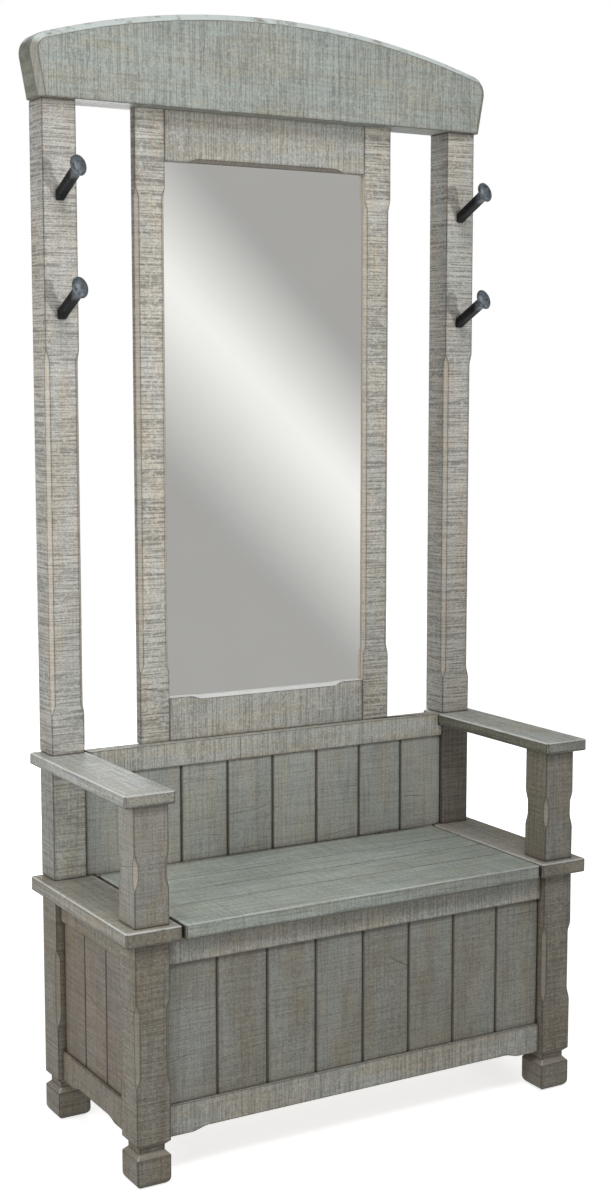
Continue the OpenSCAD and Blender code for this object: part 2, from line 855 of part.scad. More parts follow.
module hinge_frame_leaves() {
    color(iron)
        for (s = [-1, 1])
            difference() {
                union() {
                    knuckle_row(s, 0);
                    leaf_plate(s, pocket_d, pocket_d + leaf_t, 0);
                }
                pin_bore(s);
                for (x = hinge_screws)
                    screw_sink(s * hinge_x + x, pocket_d + leaf_t, hinge_screw_z, -1);
            }
}

module hinge_lid_leaves() {
    color(iron)
        for (s = [-1, 1])
            difference() {
                union() {
                    knuckle_row(s, 1);
                    leaf_plate(s, lid_back_d - leaf_t, lid_back_d, 1);
                }
                pin_bore(s);
                for (x = hinge_screws)
                    screw_sink(s * hinge_x + x, lid_back_d - leaf_t, hinge_screw_z, 1);
            }
}

module hinge_pins() {
    color(iron)
        for (s = [-1, 1])
            translate([s * hinge_x - hinge_l / 2, back - hinge_d, hinge_z])
                rotate([0, 90, 0])
                    cylinder(h = hinge_l, r = pin_r);
}

module hinge_frame_screws() {
    color(iron)
        for (s = [-1, 1], x = hinge_screws)
            level_screw(s * hinge_x + x, pocket_d + leaf_t, hinge_screw_z, -1);
}

module hinge_lid_screws() {
    color(iron)
        for (s = [-1, 1], x = hinge_screws)
            level_screw(s * hinge_x + x, lid_back_d - leaf_t, hinge_screw_z, 1);
}

// ---------- mirror ----------

mirror_peg_x = [-mirror_w / 2 + stile_w / 2, -light_w / 4, light_w / 4, mirror_w / 2 - stile_w / 2];
mirror_peg_d = (back_rail_d - back_rail_t + frame_front_d) / 2;
corner_pegs = [[light_z0 - mirror_low_h / 4, light_z0 - 3 * mirror_low_h / 4],
    [light_z1 + mirror_top_h / 4, light_z1 + 3 * mirror_top_h / 4]];
corner_peg_l = 24;
corner_peg_d = frame_front_d - 6;

module corner_peg_holes(s) {
    for (pair = corner_pegs, z = pair)
        translate([s * light_w / 2 - corner_peg_l, back - corner_peg_d, z])
            rotate([0, 90, 0])
                cylinder(h = 2 * corner_peg_l, r = pegs_r + snug);
}

module rebate() {
    block(-light_w / 2 - rebate_w, light_w / 2 + rebate_w, mirror_d - 1, glass_back_d + glass_t + fit_gap,
        light_z0 - rebate_w, light_z1 + rebate_w);
}

module mirror_stile(side) {
    color(paint_light)
        on_side(side)
            difference() {
                block(light_w / 2, mirror_w / 2, mirror_d, frame_front_d, arm_top, crest_z + housing - 0.3);
                upright_chamfer(mirror_w / 2, frame_front_d, light_z0 + mirror_stop, light_z1 - mirror_stop, -45);
                upright_chamfer(light_w / 2, frame_front_d, light_z0 + mirror_stop, light_z1 - mirror_stop, -135);
                rebate();
                corner_peg_holes(1);
                peg(mirror_peg_x[3], mirror_peg_d, arm_top - 1, arm_top + 20, pegs_r + snug);
                for (z = clip_z)
                    screw_sink(clip_x, mirror_d - clip[2], z, 1);
            }
}

module mirror_top_rail() {
    color(paint_light)
        difference() {
            block(-light_w / 2 + 0.1, light_w / 2 - 0.1, mirror_d, frame_front_d, light_z1, crest_z + housing - 0.3);
            level_chamfer(-light_w / 2 + mirror_stop, light_w / 2 - mirror_stop, frame_front_d, light_z1, -1);
            rebate();
            for (s = [-1, 1]) corner_peg_holes(s);
        }
}

module mirror_bottom_rail() {
    color(paint_light)
        difference() {
            block(-light_w / 2 + 0.1, light_w / 2 - 0.1, mirror_d, frame_front_d, arm_top, light_z0);
            level_chamfer(-light_w / 2 + mirror_stop, light_w / 2 - mirror_stop, frame_front_d, light_z0, 1);
            rebate();
            for (s = [-1, 1]) corner_peg_holes(s);
            for (i = [1, 2])
                peg(mirror_peg_x[i], mirror_peg_d, arm_top - 1, arm_top + 20, pegs_r + snug);
        }
}

module mirror_glass() {
    g = rebate_w - 1;
    color([0.75, 0.77, 0.78])
        block(-light_w / 2 - g, light_w / 2 + g, glass_back_d, glass_back_d + glass_t,
            light_z0 - g, light_z1 + g);
}

module mirror_backing() {
    g = rebate_w - 1;
    color(raw_wood)
        block(-light_w / 2 - g, light_w / 2 + g, mirror_d, mirror_d + backing_t,
            light_z0 - g, light_z1 + g);
}

// Turn clips on the stiles hold the backing in its rebate
clip_x = light_w / 2 + rebate_w + 8;
clip_z = [for (i = [0 : 3]) light_z0 + clip_end_l + i * (light_z1 - light_z0 - 2 * clip_end_l) / 3];

module mirror_clips() {
    color(iron)
        for (s = [-1, 1], z = clip_z)
            on_side(s)
                difference() {
                    translate([clip_x + clip[1] / 2 - clip[0], back - mirror_d, z - clip[1] / 2])
                        cube([clip[0], clip[2], clip[1]]);
                    screw_sink(clip_x, mirror_d - clip[2], z, 1);
                }
}

module mirror_clip_screws() {
    color(iron)
        for (s = [-1, 1], z = clip_z)
            level_screw(s * clip_x, mirror_d - clip[2], z, 1);
}

// ---------- crest ----------

// Front view of the crest, drawn inwards by b on its ends and top
module crest_outline(b) {
    r = crest_corner_r - b;
    arch_r = crest_arch_r - b;
    arch_z = crest_h - crest_arch_r;
    // Centre of the corner arc: it touches the leaning end and the arch from inside
    nx = cos(crest_flare);
    nz = -sin(crest_flare);
    reach = crest_half * nx - b - r;
    side_of = arch_r - r;
    slide = sqrt(side_of * side_of - pow(reach - nz * arch_z, 2));
    // The point at distance reach along the end's normal and on the circle of radius side_of
    cx = (reach - nz * arch_z) * nx - slide * nz;
    cz = arch_z + (reach - nz * arch_z) * nz + slide * nx;
    top_angle = atan2(cz - arch_z, cx);
    corner = [for (i = [0 : 8]) let (a = -crest_flare + (top_angle + crest_flare) * i / 8)
        [cx + r * cos(a), cz + r * sin(a)]];
    arch = [for (i = [1 : 11]) let (a = top_angle + (90 - top_angle) * i / 12)
        [arch_r * cos(a), arch_z + arch_r * sin(a)]];
    low = crest_half - b / cos(crest_flare);
    right = concat([[low, 0]], corner, arch);
    polygon(concat(right, [[0, arch_z + arch_r]],
        [for (i = [len(right) - 1 : -1 : 0]) [-right[i][0], right[i][1]]]));
}

module crest_rail() {
    color(paint_light)
        difference() {
            hull() {
                translate([0, back - crest_bevel, crest_z])
                    rotate([90, 0, 0])
                        linear_extrude(crest_t - 2 * crest_bevel) crest_outline(0);
                translate([0, back, crest_z])
                    rotate([90, 0, 0])
                        linear_extrude(crest_t) crest_outline(crest_bevel);
            }
            block(-mirror_w / 2 - 0.3, mirror_w / 2 + 0.3, mirror_d - 0.3, frame_front_d + 0.3,
                crest_z - 1, crest_z + housing);
            for (s = [-1, 1], d = rear_dowels)
                peg(s * post_x, d, crest_z - 1, crest_z + dowel_in + 1, dowel_r + snug);
        }
}

// ---------- hooks ----------

// Places a hook drawn along +Z so that it leaves the face of the post at height z and slopes up
module hook_place(z) {
    translate([post_x, back - post_d, z])
        rotate([90 - hook_tilt, 0, 0])
            children();
}

module hook_hole() {
    translate([0, 0, -hook_tenon_l - 1])
        cylinder(h = hook_tenon_l + 60, r = hook_tenon_r + snug);
}

// Square bar with slightly bevelled corners
module bar_section(w) {
    b = w * 0.09;
    h = w / 2;
    polygon([[-h + b, -h], [h - b, -h], [h, -h + b], [h, h - b],
        [h - b, h], [-h + b, h], [-h, h - b], [-h, -h + b]]);
}

// Oval head that flares out of the shank, with a blunt lip and a domed top
module hook_head() {
    r = head_l / 2;
    dome = 0.42 * head_h;
    lip = head_h - dome;
    flare = [for (i = [0 : 5]) [r * (0.44 + 0.54 * pow(i / 5, 2.2)), (lip - 2) * pow(i / 5, 0.8)]];
    top = [for (a = [15 : 15 : 90]) [r * cos(a), lip + dome * sin(a)]];
    scale([head_w / head_l, 1, 1])
        rotate_extrude($fn = 44)
            polygon(concat([[0, 0]], flare, [[r, lip - 1]], [[r, lip]], top));
}

// Forged spike: round tenon, square shank cut to the face of the post, domed head
module hook(side, z) {
    color(iron)
        on_side(side)
            hook_place(z) {
                translate([0, 0, -hook_tenon_l])
                    cylinder(h = hook_tenon_l + 20, r = hook_tenon_r);
                intersection() {
                    translate([0, 0, -20])
                        linear_extrude(hook_l + 20 - head_h / 2) bar_section(shank_t);
                    rotate([hook_tilt - 90, 0, 0])
                        translate([-shank_t, -hook_l - 20, -shank_t])
                            cube([2 * shank_t, hook_l + 20 - 0.05, hook_l + 20]);
                }
                translate([0, head_rise, hook_l - head_h])
                    hook_head();
            }
}

// ---------- dowels ----------

module post_dowels() {
    color(raw_wood)
        for (s = [-1, 1]) {
            for (d = rear_dowels) {
                peg(s * post_x, d, seat_under - dowel_in, seat_h + dowel_in, dowel_r);
                peg(s * post_x, d, arm_under - dowel_in, arm_top + dowel_in, dowel_r);
                peg(s * post_x, d, crest_z - dowel_in, crest_z + dowel_in, dowel_r);
            }
            for (d = front_dowels) {
                peg(s * post_x, d, seat_under - dowel_in, seat_h + dowel_in, dowel_r);
                peg(s * post_x, d, arm_under - dowel_in, arm_under + arm_peg, dowel_r);
            }
        }
}

module mirror_dowels() {
    color(raw_wood) {
        for (x = mirror_peg_x)
            peg(x, mirror_peg_d, arm_top - 19, arm_top + 19, pegs_r);
        for (s = [-1, 1], pair = corner_pegs, z = pair)
            translate([s * light_w / 2 - corner_peg_l + 1, back - corner_peg_d, z])
                rotate([0, 90, 0])
                    cylinder(h = 2 * corner_peg_l - 2, r = pegs_r);
    }
}

crest_rail();
upper_post(-1);  // left_upper_post
upper_post(1);  // right_upper_post
mid_post(-1);  // left_mid_post
mid_post(1);  // right_mid_post
arm(-1);  // left_arm
arm(1);  // right_arm
arm_post(-1);  // left_arm_post
arm_post(1);  // right_arm_post
seat_side(-1);  // left_seat_side
seat_side(1);  // right_seat_side
front_leg(-1);  // front_left_leg
front_leg(1);  // front_right_leg
rear_leg(-1);  // rear_left_leg
rear_leg(1);  // rear_right_leg
front_top_rail();
front_bottom_rail();
front_boards();
side_top_rail(-1);  // left_side_top_rail
side_bottom_rail(-1);  // left_side_bottom_rail
side_boards(-1);  // left_side_boards
side_top_rail(1);  // right_side_top_rail
side_bottom_rail(1);  // right_side_bottom_rail
side_boards(1);  // right_side_boards
hinge_rail();
rear_bottom_rail();
rear_panel();
chest_floor();
floor_cleats();
seat_back_rail();
seat_back_boards();
lid_planks();
lid_battens();
hinge_frame_leaves();
hinge_lid_leaves();
hinge_pins();
hinge_frame_screws();
hinge_lid_screws();
mirror_stile(-1);  // mirror_left_stile
mirror_stile(1);  // mirror_right_stile
mirror_top_rail();
mirror_bottom_rail();
mirror_glass();
mirror_backing();
mirror_clips();
mirror_clip_screws();
hook(-1, hook_high_z);  // hook_upper_left
hook(-1, hook_low_z);  // hook_lower_left
hook(1, hook_high_z);  // hook_upper_right
hook(1, hook_low_z);  // hook_lower_right
post_dowels();
mirror_dowels();
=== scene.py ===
import bpy
import json
import math
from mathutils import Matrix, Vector


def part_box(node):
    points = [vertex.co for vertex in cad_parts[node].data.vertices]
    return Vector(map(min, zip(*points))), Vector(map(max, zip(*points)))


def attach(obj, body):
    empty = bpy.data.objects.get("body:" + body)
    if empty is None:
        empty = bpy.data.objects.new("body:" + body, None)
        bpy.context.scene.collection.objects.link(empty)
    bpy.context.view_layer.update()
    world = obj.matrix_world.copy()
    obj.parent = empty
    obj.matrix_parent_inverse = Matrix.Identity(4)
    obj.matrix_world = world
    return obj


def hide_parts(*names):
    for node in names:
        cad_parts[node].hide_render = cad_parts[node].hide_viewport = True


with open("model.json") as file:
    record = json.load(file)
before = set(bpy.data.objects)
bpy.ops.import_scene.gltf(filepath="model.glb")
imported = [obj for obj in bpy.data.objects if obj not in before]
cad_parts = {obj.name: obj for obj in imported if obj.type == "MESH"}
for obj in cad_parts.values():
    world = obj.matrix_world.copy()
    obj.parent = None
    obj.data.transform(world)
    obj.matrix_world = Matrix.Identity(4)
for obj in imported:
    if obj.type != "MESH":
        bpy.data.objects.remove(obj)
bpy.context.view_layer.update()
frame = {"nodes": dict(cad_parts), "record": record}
nodes = frame["nodes"]

# ---------- camera ----------

CAMERA_AT = (-1.7904, -3.0192, 1.4404)
CAMERA_TURN = 30.392    # degrees, to the right of straight ahead
CAMERA_TILT = -6.771    # degrees above level, so this looks down
LENS = 53.85            # millimetres
SENSOR_WIDTH = 36       # millimetres

camera_data = bpy.data.cameras.new("camera")
camera_data.sensor_width = SENSOR_WIDTH
camera_data.lens = LENS
camera = bpy.data.objects.new("camera", camera_data)
camera.location = CAMERA_AT
camera.rotation_euler = (math.radians(90 + CAMERA_TILT), 0, math.radians(-CAMERA_TURN))
bpy.context.scene.collection.objects.link(camera)
bpy.context.scene.camera = camera
bpy.context.scene.view_settings.view_transform = "Standard"


# ---------- node helpers ----------

def wire(tree, value, socket):
    """Links a socket, or fills it with a plain value."""
    if isinstance(value, bpy.types.NodeSocket):
        tree.links.new(value, socket)
    elif value is not None:
        socket.default_value = value


def maths(tree, operation, first, second=None, clamp=False):
    """One step of arithmetic on sockets or plain values."""
    node = tree.nodes.new("ShaderNodeMath")
    node.operation = operation
    node.use_clamp = clamp
    wire(tree, first, node.inputs[0])
    wire(tree, second, node.inputs[1])
    return node.outputs[0]


def axes(tree, vector):
    """Splits a vector into its X, Y and Z."""
    node = tree.nodes.new("ShaderNodeSeparateXYZ")
    wire(tree, vector, node.inputs[0])
    return node.outputs


def local(tree, what):
    """The place ("Object") or the facing ("Normal") of a surface in the piece's own axes."""
    return tree.nodes.new("ShaderNodeTexCoord").outputs[what]


def scaled(tree, vector, across, depth, along):
    """Stretches a vector; a high number gives fine detail in that direction."""
    node = tree.nodes.new("ShaderNodeVectorMath")
    node.operation = "MULTIPLY"
    wire(tree, vector, node.inputs[0])
    node.inputs[1].default_value = (across, depth, along)
    return node.outputs[0]


def noise(tree, vector, scale=1.0, detail=2.0, roughness=0.5, distortion=0.0):
    """Smooth noise from 0 to 1."""
    node = tree.nodes.new("ShaderNodeTexNoise")
    wire(tree, vector, node.inputs["Vector"])
    node.inputs["Scale"].default_value = scale
    node.inputs["Detail"].default_value = detail
    node.inputs["Roughness"].default_value = roughness
    node.inputs["Distortion"].default_value = distortion
    return node.outputs["Fac"]


def step_up(tree, value, low, high):
    """0 below low, 1 above high and a smooth rise between them."""
    node = tree.nodes.new("ShaderNodeMapRange")
    node.interpolation_type = "SMOOTHSTEP"
    wire(tree, value, node.inputs["Value"])
    node.inputs["From Min"].default_value = low
    node.inputs["From Max"].default_value = high
    return node.outputs["Result"]


def mixed(tree, factor, below, above, blend="MIX"):
    """Lays one colour over another by the factor."""
    node = tree.nodes.new("ShaderNodeMix")
    node.data_type = "RGBA"
    node.blend_type = blend
    wire(tree, factor, node.inputs[0])
    wire(tree, below, node.inputs[6])
    wire(tree, above, node.inputs[7])
    return node.outputs[2]


def new_group(name, inputs, outputs):
    """Starts a node group. Inputs are (name, kind, default) rows, and outputs (name, kind) rows."""
    tree = bpy.data.node_groups.new(name, "ShaderNodeTree")
    for label, kind, default in inputs:
        socket = tree.interface.new_socket(
            name=label, in_out="INPUT", socket_type="NodeSocket" + kind)
        if default is not None:
            socket.default_value = default
    for label, kind in outputs:
        tree.interface.new_socket(
            name=label, in_out="OUTPUT", socket_type="NodeSocket" + kind)
    return tree, tree.nodes.new("NodeGroupInput").outputs, tree.nodes.new("NodeGroupOutput").inputs


def place_group(tree, group, **values):
    """Puts a group into a material; an underscore in a name stands for a space."""
    node = tree.nodes.new("ShaderNodeGroup")
    node.node_tree = group
    for label, value in values.items():
        wire(tree, value, node.inputs[label.replace("_", " ")])
    return node.outputs


def colour(red, green, blue):
    """An opaque colour in linear light."""
    return (red, green, blue, 1.0)


# ---------- shared effects ----------

# How fine each pattern is across, through and along a board, in waves per metre
CLOUD = (10, 10, 3.5)
PATCH = (26, 26, 5)
FINE_MARK = (10, 10, 430)
COARSE_MARK = (6, 6, 260)
MARK_BREAK = (100, 100, 150)
FIBRE = (260, 260, 9)
SPECK = (260, 260, 260)
CRACK_BEND = (1.6, 1.6, 4)
CRACK_BREAK = (13, 13, 9)
CRACKS_PER_METRE = 9.0
CRACK_SWING = 2.4           # how many spaces between cracks the bends shift them
BOARD_SHIFT = (7.3, 3.1, 11.7)      # moves the pattern from board to board


def make_sawn_grain():
    """Band-sawn wood with its grain along Z.

    Saw marks and cracks run across it and fibres along it, under uneven paint.
    """
    tree, given, result = new_group(
        "sawn grain",
        [("Vector", "Vector", None), ("Board", "Float", 0.0)],
        [("Saw Marks", "Float"), ("Fibres", "Float"), ("Speckle", "Float"),
         ("Patches", "Float"), ("Clouds", "Float"), ("Cracks", "Float")])
    shift = tree.nodes.new("ShaderNodeCombineXYZ")
    for axis, distance in enumerate(BOARD_SHIFT):
        wire(tree, maths(tree, "MULTIPLY", given["Board"], distance), shift.inputs[axis])
    moved = tree.nodes.new("ShaderNodeVectorMath")
    wire(tree, given["Vector"], moved.inputs[0])
    wire(tree, shift.outputs[0], moved.inputs[1])
    place = moved.outputs[0]

    clouds = noise(tree, scaled(tree, place, *CLOUD), detail=3.0, roughness=0.6)
    wire(tree, step_up(tree, clouds, 0.34, 0.68), result["Clouds"])
    patches = noise(
        tree, scaled(tree, place, *PATCH), detail=3.0, roughness=0.65, distortion=0.3)
    wire(tree, step_up(tree, patches, 0.40, 0.66), result["Patches"])

    fine = noise(tree, scaled(tree, place, *FINE_MARK), detail=1.0, roughness=0.5)
    coarse = noise(tree, scaled(tree, place, *COARSE_MARK), detail=1.0, roughness=0.5)
    marks = maths(
        tree, "ADD", maths(tree, "MULTIPLY", fine, 0.65), maths(tree, "MULTIPLY", coarse, 0.35))
    marks = step_up(tree, marks, 0.40, 0.62)
    breaks = noise(tree, scaled(tree, place, *MARK_BREAK), detail=2.0, roughness=0.6)
    unbroken = step_up(tree, breaks, 0.26, 0.56)
    wire(tree, maths(tree, "MULTIPLY", marks, unbroken), result["Saw Marks"])

    fibres = noise(tree, scaled(tree, place, *FIBRE), detail=1.0, roughness=0.5)
    wire(tree, step_up(tree, fibres, 0.42, 0.70), result["Fibres"])

    speckle = noise(tree, scaled(tree, place, *SPECK), detail=1.0, roughness=0.6)
    wire(tree, step_up(tree, speckle, 0.40, 0.64), result["Speckle"])

    # Level lines at uneven steps along the board, bent a little and broken
    bent = noise(tree, scaled(tree, place, *CRACK_BEND), detail=1.0, roughness=0.4)
    steps = maths(
        tree, "ADD", maths(tree, "MULTIPLY", axes(tree, place)["Z"], CRACKS_PER_METRE),
        maths(tree, "MULTIPLY", bent, CRACK_SWING))
    middle = maths(tree, "ABSOLUTE", maths(tree, "SUBTRACT", maths(tree, "FRACT", steps), 0.5))
    present = step_up(tree, noise(tree, scaled(tree, place, *CRACK_BREAK), detail=1.0), 0.44, 0.56)
    cracks = maths(tree, "MULTIPLY", step_up(tree, middle, 0.008, 0.002), present)
    wire(tree, cracks, result["Cracks"])
    return tree


EDGE_WIDTH = 0.0042         # metres, as are the next three
HALO_WIDTH = 0.011
CORNER_REACH = 0.012
HAZE_REACH = 0.06
EDGE_SAMPLES = 4


def make_edge_glaze():
    """Finds edges, chamfers and tight corners, for glaze, rubbed paint, painted shade and
    highlights.
    """
    tree, given, result = new_group(
        "edge glaze",
        [("Vector", "Vector", None)],
        [("Line", "Float"), ("Worn Highlight", "Float"), ("Halo", "Float"), ("Chamfer", "Float"),
         ("Top Chamfer", "Float"), ("Corner", "Float"), ("Haze", "Float")])
    flat = tree.nodes.new("ShaderNodeNewGeometry").outputs["Normal"]

    def turn_of_normal(radius):
        """How far the surface turns within a radius, from 0 on flat faces."""
        rounded = tree.nodes.new("ShaderNodeBevel")
        rounded.samples = EDGE_SAMPLES
        rounded.inputs["Radius"].default_value = radius
        match = tree.nodes.new("ShaderNodeVectorMath")
        match.operation = "DOT_PRODUCT"
        wire(tree, rounded.outputs[0], match.inputs[0])
        wire(tree, flat, match.inputs[1])
        return maths(tree, "SUBTRACT", 1.0, match.outputs["Value"])

    ragged = noise(tree, given["Vector"], scale=30.0, detail=3.0, roughness=0.65)
    broad = noise(tree, scaled(tree, given["Vector"], 14, 14, 14), detail=3.0, roughness=0.65)
    narrow = step_up(tree, turn_of_normal(EDGE_WIDTH), 0.002, 0.016)
    line = maths(tree, "MULTIPLY", narrow, step_up(tree, ragged, 0.24, 0.42))
    wide = step_up(tree, turn_of_normal(HALO_WIDTH), 0.002, 0.10)
    halo = maths(tree, "MULTIPLY", wide, step_up(tree, ragged, 0.38, 0.62))
    wire(tree, halo, result["Halo"])

    def shut_in(reach):
        """How closed in the surface is within a reach, from 0 in the open."""
        shade = tree.nodes.new("ShaderNodeAmbientOcclusion")
        shade.samples = EDGE_SAMPLES
        shade.inputs["Distance"].default_value = reach
        return maths(tree, "SUBTRACT", 1.0, shade.outputs["AO"], clamp=True)

    # Closed-in places, painted dark further on: glaze and painted shade
    near = shut_in(CORNER_REACH)
    wire(tree, near, result["Corner"])
    # Browner within a few centimetres of closed-in places, broken up by noise
    haze = step_up(tree, shut_in(HAZE_REACH), 0.12, 0.75)
    haze = maths(tree, "MULTIPLY", haze, step_up(tree, broad, 0.30, 0.60))
    wire(tree, haze, result["Haze"])
    hollow = step_up(tree, near, 0.03, 0.10)
    proud = maths(tree, "SUBTRACT", 1.0, hollow)

    facing = axes(tree, local(tree, "Normal"))
    upward = step_up(tree, facing["Z"], 0.55, 0.85)
    dark = maths(tree, "MULTIPLY", line, maths(tree, "SUBTRACT", 1.0, upward))
    # Dark lines along edges and in hollows: glaze, with painted shade in the hollows
    in_hollow = maths(tree, "MULTIPLY", narrow, hollow)
    wire(tree, maths(tree, "MAXIMUM", dark, in_hollow), result["Line"])
    # Pale line on upward faces at proud edges: worn paint and painted highlight
    rubbed = maths(tree, "MULTIPLY", narrow, step_up(tree, broad, 0.38, 0.50))
    rubbed = maths(tree, "MULTIPLY", rubbed, proud)
    wire(tree, maths(tree, "MULTIPLY", rubbed, upward), result["Worn Highlight"])

    # Large only where a face lies between two axes, as a chamfer does
    side = [maths(tree, "MULTIPLY", part, part) for part in facing]
    slant = maths(tree, "MULTIPLY", side[0], side[1])
    slant = maths(tree, "ADD", slant, maths(tree, "MULTIPLY", side[1], side[2]))
    slant = maths(tree, "ADD", slant, maths(tree, "MULTIPLY", side[2], side[0]))
    slant = step_up(tree, slant, 0.17, 0.24)
    wire(tree, slant, result["Chamfer"])
    # Chamfers that face up, painted pale further on: worn paint and painted highlight
    topmost = maths(tree, "MULTIPLY", slant, step_up(tree, facing["Z"], 0.25, 0.55))
    topmost = maths(tree, "MULTIPLY", topmost, step_up(tree, ragged, 0.28, 0.50))
    wire(tree, maths(tree, "MULTIPLY", topmost, proud), result["Top Chamfer"])
    return tree


SAWN_GRAIN = make_sawn_grain()
EDGE_GLAZE = make_edge_glaze()

# Turns that lay the grain, drawn along Z, along a board
GRAIN_TURN = {
    "upright": (0, 0, 0),
    "across": (0, math.radians(-90), 0),
    "deep": (math.radians(90), 0, 0),
}


# ---------- materials ----------

def new_material(name):
    """Starts a material. Returns it with its tree and the inputs of its shader."""
    material = bpy.data.materials.new(name)
    material.use_nodes = True
    tree = material.node_tree
    return material, tree, tree.nodes["Principled BSDF"].inputs


def add_bump(tree, shader, height, strength, distance, invert=False):
    """Gives a shader relief from a height, with the distance in metres."""
    bump = tree.nodes.new("ShaderNodeBump")
    bump.invert = invert
    bump.inputs["Strength"].default_value = strength
    bump.inputs["Distance"].default_value = distance
    wire(tree, height, bump.inputs["Height"])
    wire(tree, bump.outputs[0], shader["Normal"])


def along_grain(tree, vector, grain):
    """Turns a vector so that its Z runs along the grain."""
    turn = tree.nodes.new("ShaderNodeMapping")
    turn.inputs["Rotation"].default_value = GRAIN_TURN[grain]
    wire(tree, vector, turn.inputs["Vector"])
    return turn.outputs[0]


def inside(tree, place, box):
    """1 within a box seen from the front, given as (left, low, right, high), and 0 outside it."""
    parts = axes(tree, place)
    left, low, right, high = box
    soft = 0.001
    past_left = step_up(tree, parts["X"], left - soft, left)
    past_right = step_up(tree, parts["X"], right + soft, right)
    past_low = step_up(tree, parts["Z"], low - soft, low)
    past_high = step_up(tree, parts["Z"], high + soft, high)
    wide = maths(tree, "MULTIPLY", past_left, past_right)
    return maths(tree, "MULTIPLY", wide, maths(tree, "MULTIPLY", past_low, past_high))


SEAM_HALF_WIDTH = 0.0013    # metres


def seam_lines(tree, place, seams):
    """1 on thin lines from side to side at the given depths."""
    across_seams = axes(tree, place)["Y"]
    lines = 0.0
    for depth in seams:
        off = maths(tree, "ABSOLUTE", maths(tree, "SUBTRACT", across_seams, depth))
        line = step_up(tree, off, SEAM_HALF_WIDTH * 1.4, SEAM_HALF_WIDTH * 0.7)
        lines = maths(tree, "MAXIMUM", lines, line)
    return lines


# Dark brown of glaze in marks, cracks and seams, and of painted shade in closed-in corners
GLAZE_AND_SHADE = colour(0.050, 0.040, 0.030)
BROWN = colour(0.20, 0.155, 0.105)
BONE = colour(0.78, 0.79, 0.77)
GREIGE = colour(0.472, 0.468, 0.434)
MINT = colour(0.60, 0.66, 0.63)

TAN = (1.04, 0.92, 0.79)    # what the paint is multiplied by where it is rubbed through
MARK_TONE = 0.45            # and in saw marks and fibres, under the glaze
BARE_TONE = 1.35            # and between the saw marks, where the wood stays pale
SPECK_DARK = 0.6            # and on specks
SPECK_PALE = 1.43           # and between them
END_SHADE_TONE = 0.84            # and at one end of a board, as painted shade

# How strongly the wear, glaze, painted shade and painted highlights that all boards share show
HALO_SHOWS = 0.4
LINE_SHOWS = 0.9
WORN_HIGHLIGHT_SHOWS = 0.8
SEAM_SHOWS = 0.8
TOP_EDGE_SHOWS = 0.85
OPENING_SHOWS = 0.85


